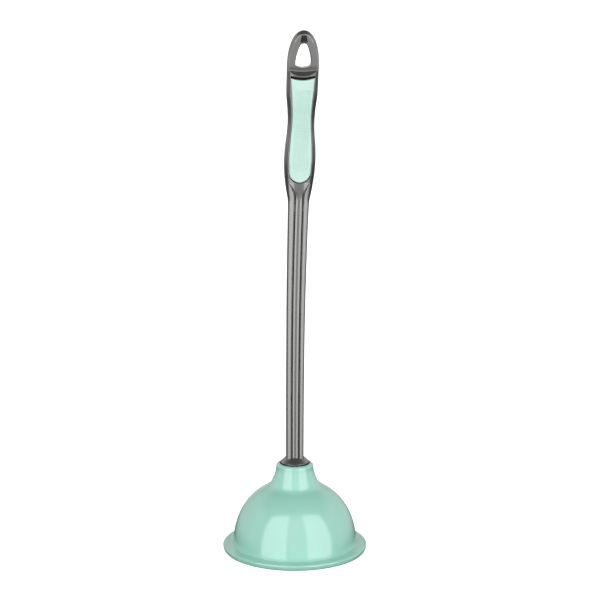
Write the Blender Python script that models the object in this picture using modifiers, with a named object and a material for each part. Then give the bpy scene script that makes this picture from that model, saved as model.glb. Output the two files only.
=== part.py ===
"""Toilet plunger: a rubber cup on a long moulded handle with a soft inlay on each side of its grip.

Metres, +Z up. The origin is the centre of the cup's open mouth, on the surface that the plunger
stands on. The handle rises along +Z from the cup's neck and bows slightly towards +X. The grip's
front inlay faces -Y and its back inlay faces +Y. Pieces that touch keep a small gap.
"""
import bpy
import bmesh
from bisect import bisect_right
from math import acos, cos, pi, radians, sin, sqrt
from mathutils import Matrix, Vector

# ---------------------------------------------------------------- driving dimensions
TOTAL_HEIGHT = 0.5087
GAP = 0.0003

# Cup, as radii from its axis and heights above the surface it stands on
FLANGE_RADIUS = 0.0700
FLANGE_INNER_RADIUS = 0.0565
FLANGE_ROOT_Z = 0.0058
FLANGE_FILLET = 0.0006
FLANGE_EDGE = (0.0674, 0.0059)
FLANGE_ROLL = [(0.0690, 0.0055), (0.0698, 0.0049)]
FLANGE_LIP_Z = 0.0042
FLANGE_UNDERCUT = (0.0696, 0.0016)
FLANGE_REST_RADIUS = 0.0684
DOME_RADIUS = 0.0599
DOME_HEIGHT = 0.0645
DOME_CENTRE_Z = 0.0042
DOME_SQUARENESS = 2.16
DOME_WALL = 0.0045
DOME_TOP_RADIUS = 0.0282
DOME_FOOT_RADIUS = 0.0545
NECK_RADIUS = 0.0180
NECK_FLARE_TOP_Z = 0.0832
NECK_FLARE_BEND_Z = 0.0782
NECK_FLARE_FOOT = (0.0225, 0.0683)
NECK_FLARE_CORNER = (0.0242, 0.0645)
NECK_SHOULDER_Z = 0.0840
NECK_RIM_Z = 0.0871
NECK_MOUTH_RADIUS = 0.0145
MOUTH_FLOOR_Z = 0.0830
SOCKET_RADIUS = 0.0118
WEB_TOP_Z = 0.0660
WEB_BOTTOM_Z = 0.0610
WEB_BOSS_RADIUS = 0.0135
WEB_HOLE_RADIUS = 0.0030

# Collar and plug at the foot of the handle
COLLAR_TOP_Z = 0.0936
COLLAR_TOP_RADIUS = 0.0084
COLLAR_SLOPE_END = (0.0127, 0.0896)
COLLAR_EDGE = (0.0139, 0.0884)
COLLAR_RIM_FOOT_Z = 0.0880
COLLAR_UNDERCUT_RADIUS = 0.0130
PLUG_RADIUS = 0.0104
BARB_RADIUS = 0.0114
BARB_COUNT = 3
BARB_PITCH = 0.0045
PLUG_BOTTOM_Z = WEB_TOP_Z + GAP
PILOT_HOLE_TOP_Z = 0.0865

# Handle outline, as (height, half the width) and (height, half the depth)
HALF_WIDTHS = [
    (0.0900, 0.0082), (0.1500, 0.0083), (0.2200, 0.00855), (0.2700, 0.0089), (0.3310, 0.00945),
    (0.3460, 0.0098), (0.3540, 0.01145), (0.3620, 0.0129), (0.3730, 0.01435), (0.3850, 0.01495),
    (0.4000, 0.0144), (0.4120, 0.01315), (0.4230, 0.0127), (0.4350, 0.01335), (0.4500, 0.01485),
    (0.4620, 0.0150), (0.4765, 0.0151),
]
HALF_DEPTHS = [
    (0.0900, 0.0080), (0.2200, 0.0084), (0.3460, 0.0093), (0.3700, 0.0101), (0.3870, 0.0107),
    (0.4230, 0.0097), (0.4500, 0.0105), (0.4690, 0.0107), (0.4760, 0.0064),
]
SHAFT_CROWN = 0.28
SHAFT_CORNER = 30.0
SHAFT_END_Z = 0.3400
GRIP_START_Z = 0.3720
SECTION_SQUARENESS = [(0.3400, 3.8), (0.3720, 2.4), (0.4660, 2.4), (0.4760, 4.0)]
BOW = [
    (0.0900, 0.0), (0.1500, 0.00018), (0.2310, 0.00085), (0.2640, 0.00140), (0.3090, 0.00245),
    (0.3310, 0.00310), (0.3560, 0.00390), (0.3900, 0.00500), (0.4300, 0.00630), (0.4550, 0.00710),
    (0.4780, 0.00790), (0.5087, 0.00880),
]

# Hanging eye
EYE_WIDEST_Z = 0.4765
EYE_TIP_SQUARENESS = 2.16
EYE_HALF_DEPTH = 0.0060
EYE_EDGE_START_Z = 0.5030
SHOULDER_FOOT_Z = 0.4668
SHOULDER_TOP_Z = 0.4722
SHOULDER_FOOT_SMILE = 0.0024
SHOULDER_TOP_SMILE = 0.0008
SMILE_HALF_WIDTH = 0.0100
HOLE_BOTTOM_Z = 0.4738
HOLE_TOP_Z = 0.4968
SCOOP_TOP_Z = 0.5047
SCOOP_FOOT_Z = 0.4978
SCOOP_TOP_HALF_WIDTH = 0.0022
SCOOP_FOOT_HALF_WIDTH = 0.0037
SCOOP_TOP_DEPTH = 0.0006
SCOOP_FOOT_DEPTH = 0.0046

# Grooves on the front and back of the shaft
GROOVE_WIDTH = 0.0018
GROOVE_DEPTH = 0.0012
GROOVE_CENTRE_LOW = 0.0036
GROOVE_CENTRE_HIGH = 0.0040
GROOVE_BEND_Z = 0.3490
GROOVE_BEND_RADIUS = 0.0210
GROOVE_END_Z = 0.3640

# Grip inlays, and the recess that each one lies in
PAD_HALF_WIDTHS = [
    (0.3760, 0.01010), (0.3880, 0.01065), (0.4040, 0.00990), (0.4270, 0.00860),
    (0.4460, 0.00965), (0.4627, 0.01130),
]
PAD_BOTTOM_Z = 0.3657
PAD_ROUND_Z = 0.3760
PAD_TOP_Z = 0.4627
PAD_TOP_SAG = 0.0019
PAD_CROWN = 0.0005
RECESS_HALF_WEB = 0.0060
RECESS_SIDE_GAP = 0.0004
RECESS_END_GAP = 0.0029
RECESS_CUTTER_DEPTH = 0.0140
HOLLOW_START_Z = 0.4540
PEG_RADIUS = 0.0025
PEG_LENGTH = 0.0030
PEG_HEIGHTS = (0.3880, 0.4400)

# Screw and washer inside the cup
WASHER_RADIUS = 0.0100
WASHER_HOLE_RADIUS = 0.0028
WASHER_THICKNESS = 0.0015
SCREW_HEAD_RADIUS = 0.0048
SCREW_HEAD_HEIGHT = 0.0029
SCREW_SHANK_RADIUS = 0.0022
SCREW_TIP_Z = 0.0850

CUP_STEPS = 44
SMALL_STEPS = 24
PEG_STEPS = 16


# ---------------------------------------------------------------- scene and objects
def clear_scene():
    """Remove every object that the file starts with."""
    for leftover in list(bpy.data.objects):
        bpy.data.objects.remove(leftover, do_unlink=True)


def new_collection(name):
    """Make a collection in the scene."""
    group = bpy.data.collections.new(name)
    bpy.context.scene.collection.children.link(group)
    return group


def plastic(name, colour, roughness, metallic=0.0):
    """Make a plain material from a colour, a roughness and a metallic value."""
    material = bpy.data.materials.new(name)
    material.use_nodes = True
    shader = material.node_tree.nodes["Principled BSDF"]
    shader.inputs["Base Color"].default_value = (*colour, 1.0)
    shader.inputs["Roughness"].default_value = roughness
    shader.inputs["Metallic"].default_value = metallic
    return material


def add_mesh_object(name, mesh, group, material=None):
    """Put a mesh into the scene as an object, with smooth faces and sharp corners."""
    thing = bpy.data.objects.new(name, mesh)
    group.objects.link(thing)
    if material:
        mesh.materials.append(material)
    mesh.shade_smooth()
    mesh.set_sharp_from_angle(angle=radians(35))
    return thing


def hide_cutter(cutter):
    """Mark an object as a cutter, which only shapes other objects."""
    cutter.hide_render = True
    cutter.display_type = "WIRE"
    return cutter


def combine(target, other, operation):
    """Cut the other object from the target, or join it on."""
    boolean = target.modifiers.new(other.name, "BOOLEAN")
    boolean.object = other
    boolean.operation = operation
    boolean.solver = "EXACT"


# ---------------------------------------------------------------- shape helpers
def curve_through(stations):
    """Return a smooth function through the stations, which doesn't overshoot between them."""
    places = [station[0] for station in stations]
    values = [station[1] for station in stations]
    last = len(places) - 1
    rises = [(values[i + 1] - values[i]) / (places[i + 1] - places[i]) for i in range(last)]
    slopes = [rises[0]]
    for before, after in zip(rises, rises[1:]):
        same_way = before * after > 0.0
        slopes.append(2.0 * before * after / (before + after) if same_way else 0.0)
    slopes.append(rises[-1])

    def value_at(place):
        if place <= places[0]:
            return values[0]
        if place >= places[-1]:
            return values[-1]
        i = bisect_right(places, place) - 1
        span = places[i + 1] - places[i]
        t = (place - places[i]) / span
        start = values[i] * (1.0 + 2.0 * t) * (1.0 - t) ** 2 + slopes[i] * span * t * (1.0 - t) ** 2
        end = values[i + 1] * t * t * (3.0 - 2.0 * t) + slopes[i + 1] * span * t * t * (t - 1.0)
        return start + end

    return value_at


def spread(start, end, count):
    """Return evenly spaced values from start up to, but not including, end."""
    return [start + (end - start) * i / count for i in range(count)]


def quarter_round(fraction, squareness):
    """Height of a superellipse of unit size at a fraction of its half-width."""
    return max(0.0, 1.0 - abs(fraction) ** squareness) ** (1.0 / squareness)


def arc(centre, radius, first, last, steps):
    """Points on an arc in the (radius, height) plane, from one angle in degrees to another."""
    turns = [radians(first + (last - first) * i / steps) for i in range(steps + 1)]
    return [(centre[0] + radius * cos(turn), centre[1] + radius * sin(turn)) for turn in turns]


def loft(name, rings, group, material=None):
    """Skin a closed body over rings that have the same number of points.

    The first half of each ring faces the second half, so each end is closed by a strip between them.
    """
    bm = bmesh.new()
    rows = [[bm.verts.new(point) for point in ring] for ring in rings]
    size = len(rows[0])
    for lower, upper in zip(rows, rows[1:]):
        for i in range(size):
            j = (i + 1) % size
            bm.faces.new((lower[i], lower[j], upper[j], upper[i]))
    for row in (rows[0], rows[-1]):
        for i in range(size // 2 - 1):
            bm.faces.new((row[i], row[i + 1], row[size - 2 - i], row[size - 1 - i]))
    bmesh.ops.recalc_face_normals(bm, faces=bm.faces)
    mesh = bpy.data.meshes.new(name)
    bm.to_mesh(mesh)
    bm.free()
    return add_mesh_object(name, mesh, group, material)


def turned(name, profile, group, material=None, closed=False, steps=SMALL_STEPS):
    """Turn a profile of (radius, height) points about the Z axis with a Screw modifier."""
    bm = bmesh.new()
    points = [bm.verts.new((radius, 0.0, height)) for radius, height in profile]
    for first, second in zip(points, points[1:]):
        bm.edges.new((first, second))
    if closed:
        bm.edges.new((points[-1], points[0]))
    mesh = bpy.data.meshes.new(name)
    bm.to_mesh(mesh)
    bm.free()
    thing = add_mesh_object(name, mesh, group, material)
    screw = thing.modifiers.new("turn", "SCREW")
    screw.axis = "Z"
    screw.steps = steps
    screw.render_steps = steps
    screw.use_merge_vertices = True
    screw.merge_threshold = 0.00005
    screw.use_smooth_shade = True
    return thing


def cylinder(name, radius, depth, centre, axis, group):
    """Add a round cutter or peg from the cylinder primitive, along the Y or the Z axis."""
    bm = bmesh.new()
    turn = Matrix.Rotation(radians(90), 4, "X") if axis == "Y" else Matrix.Identity(4)
    place = Matrix.Translation(centre) @ turn
    bmesh.ops.create_cone(bm, cap_ends=True, segments=PEG_STEPS, radius1=radius, radius2=radius,
                          depth=depth, matrix=place)
    mesh = bpy.data.meshes.new(name)
    bm.to_mesh(mesh)
    bm.free()
    return hide_cutter(add_mesh_object(name, mesh, group))


# ---------------------------------------------------------------- handle form
bow = curve_through(BOW)
width_curve = curve_through(HALF_WIDTHS)
depth_curve = curve_through(HALF_DEPTHS)
squareness_curve = curve_through(SECTION_SQUARENESS)
pad_width_curve = curve_through(PAD_HALF_WIDTHS)


def half_width(z):
    """Half the handle's width, closing in a pointed oval above the eye's widest place."""
    if z <= EYE_WIDEST_Z:
        return width_curve(z)
    rise = (z - EYE_WIDEST_Z) / (TOTAL_HEIGHT - EYE_WIDEST_Z)
    return width_curve(EYE_WIDEST_Z) * quarter_round(rise, EYE_TIP_SQUARENESS)


def half_depth(z):
    """Half the handle's depth, with the eye's upper edge rounded over."""
    if z <= EYE_EDGE_START_Z:
        return depth_curve(z)
    rise = (z - EYE_EDGE_START_Z) / (TOTAL_HEIGHT - EYE_EDGE_START_Z)
    return depth_curve(z) * (0.35 + 0.65 * quarter_round(rise, 2.4))


def groove_centre(z):
    """Distance of each groove from the middle: straight on the shaft, then bending outwards."""
    rise = min(1.0, max(0.0, (z - COLLAR_TOP_Z) / (GROOVE_BEND_Z - COLLAR_TOP_Z)))
    straight = GROOVE_CENTRE_LOW + (GROOVE_CENTRE_HIGH - GROOVE_CENTRE_LOW) * rise
    past_bend = max(0.0, min(z, GROOVE_END_Z) - GROOVE_BEND_Z)
    return straight + GROOVE_BEND_RADIUS - sqrt(GROOVE_BEND_RADIUS ** 2 - past_bend ** 2)


def groove_depth(z):
    """Depth of the grooves, which fade out where they reach the sides of the grip."""
    fade = min(1.0, max(0.0, (GROOVE_END_Z - z) / 0.005))
    return GROOVE_DEPTH * fade


def shoulder_share(x, z):
    """How far the shoulder has sloped in at a point, from the grip's surface to the eye's face."""
    spread_out = (x / SMILE_HALF_WIDTH) ** 2
    foot = SHOULDER_FOOT_Z + SHOULDER_FOOT_SMILE * spread_out
    top = SHOULDER_TOP_Z + SHOULDER_TOP_SMILE * spread_out
    return min(1.0, max(0.0, (z - foot) / max(0.0005, top - foot)))


def section_share(x, z):
    """Half-depth as a share of its greatest: flat-sided on the shaft, oval on the grip."""
    fraction = min(1.0, abs(x) / half_width(z))
    shaft = (1.0 - SHAFT_CROWN * fraction ** 3) * quarter_round(fraction, SHAFT_CORNER)
    grip = quarter_round(fraction, squareness_curve(z))
    rise = min(1.0, max(0.0, (z - SHAFT_END_Z) / (GRIP_START_Z - SHAFT_END_Z)))
    return shaft + (grip - shaft) * rise * rise * (3.0 - 2.0 * rise)


def surface_depth(x, z):
    """Half-depth of the handle's surface at a distance x from its middle, without grooves."""
    round_depth = half_depth(z) * section_share(x, z)
    return round_depth - max(0.0, round_depth - EYE_HALF_DEPTH) * shoulder_share(x, z)


def quadrant(z, side_steps=5, rib_steps=1):
    """Points (x, depth) of a quarter of the handle's section, from its side to its middle."""
    width, squareness = half_width(z), squareness_curve(z)
    middle = min(groove_centre(z), 0.7 * width)
    reach = 0.5 * min(GROOVE_WIDTH, 0.4 * middle)

    def turn_at(x):
        return acos((x / width) ** (0.5 * squareness))

    def x_at(turn):
        return width * cos(turn) ** (2.0 / squareness)

    points = [(width, 0.0)]
    outer = turn_at(middle + reach)
    for i in range(1, side_steps + 1):
        x = x_at(outer * i / side_steps)
        points.append((x, surface_depth(x, z)))
    for x in (middle + 0.5 * reach, middle - 0.5 * reach):
        points.append((x, surface_depth(x, z) - groove_depth(z)))
    for i in range(rib_steps + 1):
        x = (middle - reach) * (1.0 - i / rib_steps)
        points.append((x, surface_depth(x, z)))
    return points


def handle_ring(z):
    """The handle's section at a height, as a ring that starts at its left side."""
    corner = quadrant(z)
    front_left = [(-x, -y) for x, y in corner]
    front_right = [(x, -y) for x, y in reversed(corner[:-1])]
    back_right = [(x, y) for x, y in corner[1:]]
    back_left = [(-x, y) for x, y in reversed(corner[1:-1])]
    flat = front_left + front_right + back_right + back_left
    return [(x + bow(z), y, z) for x, y in flat]


def handle_heights():
    """Heights of the handle's sections, close together where its form changes quickly."""
    heights = spread(0.0905, 0.3460, 7)
    heights += spread(0.3460, 0.3660, 8)
    heights += spread(0.3660, 0.4640, 13)
    heights += spread(0.4640, 0.4760, 9)
    heights += spread(0.4760, 0.5000, 5)
    tip = TOTAL_HEIGHT - 0.5000
    heights += [0.5000 + tip * sin(radians(90.0 * i / 5)) for i in range(5)]
    return heights + [TOTAL_HEIGHT - 0.00002]


# ---------------------------------------------------------------- eye cutters
def hole_outline():
    """Outline of the hanging hole in the XZ plane: wide near its foot, narrow and round at its top."""
    height = HOLE_TOP_Z - HOLE_BOTTOM_Z
    widths = curve_through([
        (0.00, 0.0016), (0.015, 0.0030), (0.04, 0.0050), (0.07, 0.0064), (0.10, 0.0071),
        (0.14, 0.0073), (0.25, 0.0074), (0.41, 0.0070), (0.72, 0.0052), (0.92, 0.0033),
        (0.98, 0.0020), (1.00, 0.0008),
    ])
    steps = [0.5 - 0.5 * cos(pi * i / 20) for i in range(21)]
    right = [(widths(step), HOLE_BOTTOM_Z + height * step) for step in steps]
    left = [(-x, z) for x, z in reversed(right)]
    return [(x + bow(z), z) for x, z in right + left]


def flat_prism(name, outline, half_thickness, group):
    """Extrude an outline in the XZ plane along Y, as a filled 2D curve turned into a mesh."""
    curve = bpy.data.curves.new(name, "CURVE")
    curve.dimensions = "2D"
    curve.fill_mode = "BOTH"
    curve.extrude = half_thickness
    spline = curve.splines.new("POLY")
    spline.points.add(len(outline) - 1)
    for point, (x, z) in zip(spline.points, outline):
        point.co = (x, z, 0.0, 1.0)
    spline.use_cyclic_u = True
    outline_object = bpy.data.objects.new(name + "_outline", curve)
    group.objects.link(outline_object)
    outline_object.rotation_euler = (radians(90), 0.0, 0.0)
    bpy.context.view_layer.update()
    evaluated = outline_object.evaluated_get(bpy.context.evaluated_depsgraph_get())
    mesh = bpy.data.meshes.new_from_object(evaluated)
    bm = bmesh.new()
    bm.from_mesh(mesh)
    bmesh.ops.remove_doubles(bm, verts=bm.verts, dist=0.00001)
    bmesh.ops.recalc_face_normals(bm, faces=bm.faces)
    bm.to_mesh(mesh)
    bm.free()
    prism = add_mesh_object(name, mesh, group)
    prism.matrix_world = outline_object.matrix_world.copy()
    bpy.data.objects.remove(outline_object, do_unlink=True)
    return hide_cutter(prism)


def scoop_cutter(name, side, group):
    """A wedge over the hanging hole, deepest at the hole. Side is -1 for the front, 1 for the back."""
    bm = bmesh.new()
    bmesh.ops.create_cube(bm, size=2.0)
    for vert in bm.verts:
        at_top = vert.co.z > 0.0
        z = SCOOP_TOP_Z if at_top else SCOOP_FOOT_Z
        half = SCOOP_TOP_HALF_WIDTH if at_top else SCOOP_FOOT_HALF_WIDTH
        inner = EYE_HALF_DEPTH - (SCOOP_TOP_DEPTH if at_top else SCOOP_FOOT_DEPTH)
        outer = EYE_HALF_DEPTH + 0.004
        depth = inner if vert.co.y < 0.0 else outer
        vert.co = Vector((vert.co.x * half + bow(z), side * depth, z))
    bm.normal_update()
    bmesh.ops.recalc_face_normals(bm, faces=bm.faces)
    mesh = bpy.data.meshes.new(name)
    bm.to_mesh(mesh)
    bm.free()
    return hide_cutter(add_mesh_object(name, mesh, group))


# ---------------------------------------------------------------- grip inlays
def pad_half_width(z, margin=0.0):
    """Half the inlay's width, with an elliptical lower end."""
    if z >= PAD_ROUND_Z:
        return pad_width_curve(z) + margin
    drop = (PAD_ROUND_Z - z) / (PAD_ROUND_Z - PAD_BOTTOM_Z + margin)
    return (pad_width_curve(PAD_ROUND_Z) + margin) * sqrt(max(0.0, 1.0 - drop * drop))


def pad_heights(margin, top_margin):
    """Heights of the inlay's sections, from its rounded foot to its hollowed top edge."""
    foot = PAD_ROUND_Z - PAD_BOTTOM_Z + margin
    heights = [PAD_ROUND_Z - foot * cos(radians(angle)) for angle in (8, 20, 34, 50, 68)]
    return heights + spread(PAD_ROUND_Z, PAD_TOP_Z, 11) + [PAD_TOP_Z + top_margin]


def hollow_top(x, z):
    """Lift a point near the top edge so that the edge curves up towards both corners."""
    nearness = min(1.0, max(0.0, (z - HOLLOW_START_Z) / (PAD_TOP_Z - HOLLOW_START_Z)))
    return z + PAD_TOP_SAG * (x / pad_width_curve(PAD_TOP_Z)) ** 2 * nearness


def pad_ring(z, side, margin, inner, outer_depth, columns=6):
    """One section of an inlay or its recess: an outer row of points, then the inner row back."""
    half = pad_half_width(z, margin)
    xs = [half * (2.0 * i / columns - 1.0) for i in range(columns + 1)]
    outer_row = [(x + bow(z), side * outer_depth(x, z), hollow_top(x, z)) for x in xs]
    inner_row = [(x + bow(z), side * inner, hollow_top(x, z)) for x in reversed(xs)]
    return outer_row + inner_row


def pad_surface(x, z):
    """Half-depth of the inlay's outer face, a little proud of the frame around it."""
    return half_depth(z) * section_share(x, z) + PAD_CROWN


def past_surface(_x, _z):
    """Half-depth at which a recess cutter ends, clear of the grip's surface."""
    return RECESS_CUTTER_DEPTH


def recess_cutter(name, side, group):
    """The recess that an inlay lies in, as a cutter that reaches out past the grip."""
    heights = pad_heights(RECESS_SIDE_GAP, RECESS_END_GAP)
    rings = [pad_ring(z, side, RECESS_SIDE_GAP, RECESS_HALF_WEB, past_surface) for z in heights]
    return hide_cutter(loft(name, rings, group))


def grip_pad(name, side, group, cutters, material):
    """One soft inlay with two pegs on its inner face. Side is -1 for the front, 1 for the back."""
    inner = RECESS_HALF_WEB + GAP
    rings = [pad_ring(z, side, 0.0, inner, pad_surface) for z in pad_heights(0.0, 0.0)]
    pad = loft(name, rings, group, material)
    for number, z in enumerate(PEG_HEIGHTS, start=1):
        centre = (bow(z), side * (inner - 0.5 * PEG_LENGTH + 0.0005), z)
        peg = cylinder(f"{name}_peg_{number}", PEG_RADIUS, PEG_LENGTH + 0.001, centre, "Y", cutters)
        combine(pad, peg, "UNION")
    return pad


# ---------------------------------------------------------------- handle
def collar_profile():
    """The conical collar with its overhanging rim, and the barbed plug below it."""
    rim_bottom = MOUTH_FLOOR_Z + GAP
    profile = [(0.0, COLLAR_TOP_Z), (COLLAR_TOP_RADIUS, COLLAR_TOP_Z), COLLAR_SLOPE_END]
    profile += [COLLAR_EDGE, (COLLAR_EDGE[0], COLLAR_RIM_FOOT_Z)]
    profile += [(COLLAR_UNDERCUT_RADIUS, COLLAR_RIM_FOOT_Z - 0.0002)]
    profile += [(COLLAR_UNDERCUT_RADIUS, rim_bottom), (PLUG_RADIUS, rim_bottom)]
    for number in range(BARB_COUNT):
        top = rim_bottom - 0.0015 - number * BARB_PITCH
        profile += [(PLUG_RADIUS, top), (BARB_RADIUS, top - 0.0006), (PLUG_RADIUS, top - 0.0036)]
    profile += [(PLUG_RADIUS, PLUG_BOTTOM_Z + 0.001), (PLUG_RADIUS - 0.001, PLUG_BOTTOM_Z)]
    return profile + [(0.0, PLUG_BOTTOM_Z)]


def handle(group, cutters, material):
    """The one-piece moulding: plug, collar, fluted shaft, grip frame and hanging eye."""
    body = loft("handle", [handle_ring(z) for z in handle_heights()], group, material)
    collar = hide_cutter(turned("collar_and_plug", collar_profile(), cutters))
    combine(body, collar, "UNION")
    pilot_bottom = PLUG_BOTTOM_Z - 0.002
    pilot_depth = PILOT_HOLE_TOP_Z - pilot_bottom
    pilot_centre = (0.0, 0.0, pilot_bottom + 0.5 * pilot_depth)
    pilot_radius = SCREW_SHANK_RADIUS + GAP
    combine(body, cylinder("pilot_hole", pilot_radius, pilot_depth, pilot_centre, "Z", cutters),
            "DIFFERENCE")
    combine(body, flat_prism("hanging_hole", hole_outline(), 0.012, cutters), "DIFFERENCE")
    for label, side in (("front", -1), ("back", 1)):
        combine(body, scoop_cutter(f"scoop_{label}", side, cutters), "DIFFERENCE")
        combine(body, recess_cutter(f"recess_{label}", side, cutters), "DIFFERENCE")
        for number, z in enumerate(PEG_HEIGHTS, start=1):
            depth = PEG_LENGTH + GAP + 0.001
            centre = (bow(z), side * (RECESS_HALF_WEB + 0.001 - 0.5 * depth), z)
            socket = cylinder(f"peg_socket_{label}_{number}", PEG_RADIUS + GAP, depth, centre, "Y",
                              cutters)
            combine(body, socket, "DIFFERENCE")
    return body


# ---------------------------------------------------------------- cup
def dome_height(radius, inset=0.0):
    """Height of the dome's surface at a radius, moved inwards by the wall for its inner face."""
    fraction = radius / (DOME_RADIUS - inset)
    return DOME_CENTRE_Z + (DOME_HEIGHT - inset) * quarter_round(fraction, DOME_SQUARENESS)


def dome_radius(height, inset=0.0):
    """Radius of the dome's surface at a height."""
    fraction = (height - DOME_CENTRE_Z) / (DOME_HEIGHT - inset)
    return (DOME_RADIUS - inset) * quarter_round(max(0.0, fraction), DOME_SQUARENESS)


def bend(start, corner, end, steps):
    """Points on a curve from start to end that leaves and arrives in the corner's directions."""
    points = []
    for i in range(1, steps + 1):
        t = i / steps
        weights = ((1.0 - t) ** 2, 2.0 * t * (1.0 - t), t * t)
        points.append(tuple(sum(w * point[axis] for w, point in zip(weights, (start, corner, end)))
                            for axis in range(2)))
    return points


def cup_outside():
    """Outer half of the cup's profile, from the neck's mouth down to the flange's underside."""
    rim = NECK_RIM_Z - NECK_SHOULDER_Z
    profile = [(NECK_MOUTH_RADIUS, NECK_RIM_Z - 0.0006), (NECK_MOUTH_RADIUS + 0.0006, NECK_RIM_Z)]
    profile += arc((NECK_RADIUS - rim, NECK_SHOULDER_Z), rim, 90, 0, 3)
    flare_top = (NECK_RADIUS, NECK_FLARE_TOP_Z)
    dome_top = (DOME_TOP_RADIUS, dome_height(DOME_TOP_RADIUS))
    profile.append(flare_top)
    profile += bend(flare_top, (NECK_RADIUS, NECK_FLARE_BEND_Z), NECK_FLARE_FOOT, 4)
    profile += bend(NECK_FLARE_FOOT, NECK_FLARE_CORNER, dome_top, 3)
    for i in range(1, 8):
        radius = DOME_TOP_RADIUS + (DOME_FOOT_RADIUS - DOME_TOP_RADIUS) * i / 7
        profile.append((radius, dome_height(radius)))
    fillet_top = FLANGE_ROOT_Z + FLANGE_FILLET
    for height in (0.0270, 0.0170, 0.0110, fillet_top):
        profile.append((dome_radius(height), height))
    profile.append((profile[-1][0] + FLANGE_FILLET, FLANGE_ROOT_Z - 0.2 * FLANGE_FILLET))
    profile += [FLANGE_EDGE, *FLANGE_ROLL, (FLANGE_RADIUS, FLANGE_LIP_Z), FLANGE_UNDERCUT]
    return profile + [(FLANGE_REST_RADIUS, 0.0)]


def cup_inside():
    """Inner half of the cup's profile, from the flange's underside up to the neck's mouth."""
    profile = [(FLANGE_INNER_RADIUS, 0.0), (FLANGE_INNER_RADIUS - 0.0010, 0.0010)]
    for height in (0.0100, 0.0200, 0.0300, 0.0390, 0.0460, 0.0520):
        profile.append((dome_radius(height, DOME_WALL), height))
    for radius in (0.0270, 0.0200):
        profile.append((radius, dome_height(radius, DOME_WALL)))
    profile += [(WEB_BOSS_RADIUS + 0.0020, dome_height(0.0155, DOME_WALL))]
    profile += [(WEB_BOSS_RADIUS, WEB_BOTTOM_Z), (WEB_HOLE_RADIUS, WEB_BOTTOM_Z)]
    profile += [(WEB_HOLE_RADIUS, WEB_TOP_Z), (SOCKET_RADIUS, WEB_TOP_Z)]
    return profile + [(SOCKET_RADIUS, MOUTH_FLOOR_Z), (NECK_MOUTH_RADIUS, MOUTH_FLOOR_Z)]


def rubber_cup(group, material):
    """The cup: flange, dome, flared neck, socket for the plug and the web that closes it."""
    profile = cup_outside() + cup_inside()
    return turned("rubber_cup", profile, group, material, closed=True, steps=CUP_STEPS)


# ---------------------------------------------------------------- fixings
def washer(group, material):
    """Flat washer that spreads the screw's pull over the web."""
    top = WEB_BOTTOM_Z - GAP
    bottom = top - WASHER_THICKNESS
    profile = [(WASHER_HOLE_RADIUS, top), (WASHER_RADIUS, top), (WASHER_RADIUS, bottom)]
    profile += [(WASHER_HOLE_RADIUS, bottom)]
    return turned("retaining_washer", profile, group, material, closed=True)


def screw(group, cutters, material):
    """Pan-head screw that runs up through the washer and the web into the plug."""
    head_top = WEB_BOTTOM_Z - 2.0 * GAP - WASHER_THICKNESS
    head_bottom = head_top - SCREW_HEAD_HEIGHT
    profile = [(0.0, SCREW_TIP_Z), (SCREW_SHANK_RADIUS, SCREW_TIP_Z - 0.004)]
    profile += [(SCREW_SHANK_RADIUS, head_top), (SCREW_HEAD_RADIUS, head_top)]
    profile += [(SCREW_HEAD_RADIUS, head_top - 0.0012)]
    profile += [(SCREW_HEAD_RADIUS - 0.0010, head_bottom + 0.0006)]
    profile += [(SCREW_HEAD_RADIUS - 0.0022, head_bottom), (0.0, head_bottom)]
    body = turned("retaining_screw", profile, group, material)
    for number, size in enumerate(((0.0050, 0.0010), (0.0010, 0.0050)), start=1):
        bm = bmesh.new()
        bmesh.ops.create_cube(bm, size=1.0)
        bmesh.ops.scale(bm, verts=bm.verts, vec=(size[0], size[1], 0.0030))
        bmesh.ops.translate(bm, verts=bm.verts, vec=(0.0, 0.0, head_bottom))
        mesh = bpy.data.meshes.new("drive_slot")
        bm.to_mesh(mesh)
        bm.free()
        slot = hide_cutter(add_mesh_object(f"drive_slot_{number}", mesh, cutters))
        combine(body, slot, "DIFFERENCE")
    return body


def build():
    """Build every piece of the plunger."""
    clear_scene()
    parts = new_collection("toilet_plunger")
    cutters = new_collection("cutters")
    grey = plastic("grey_plastic", (0.150, 0.156, 0.153), 0.28)
    pale_mint = plastic("pale_mint_inlay", (0.530, 0.720, 0.660), 0.50)
    mint = plastic("mint_rubber", (0.330, 0.640, 0.540), 0.25)
    steel = plastic("zinc_steel", (0.600, 0.600, 0.580), 0.30, 1.0)
    handle(parts, cutters, grey)
    grip_pad("grip_pad_front", -1, parts, cutters, pale_mint)
    grip_pad("grip_pad_back", 1, parts, cutters, pale_mint)
    rubber_cup(parts, mint)
    washer(parts, steel)
    screw(parts, cutters, steel)
    bpy.context.view_layer.update()


build()
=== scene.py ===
"""Looks of the toilet plunger: fine moulded surfaces, pipped grip inlays, glossy rubber cup, studio.

Metres, +Z up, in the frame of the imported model. The grip's front faces -Y. The handle, the inlays and
the cup are finer pieces that replace their CAD nodes. The washer and the screw are the CAD's own.
"""

from math import ceil, cos, pi, radians, sin, sqrt

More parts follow.
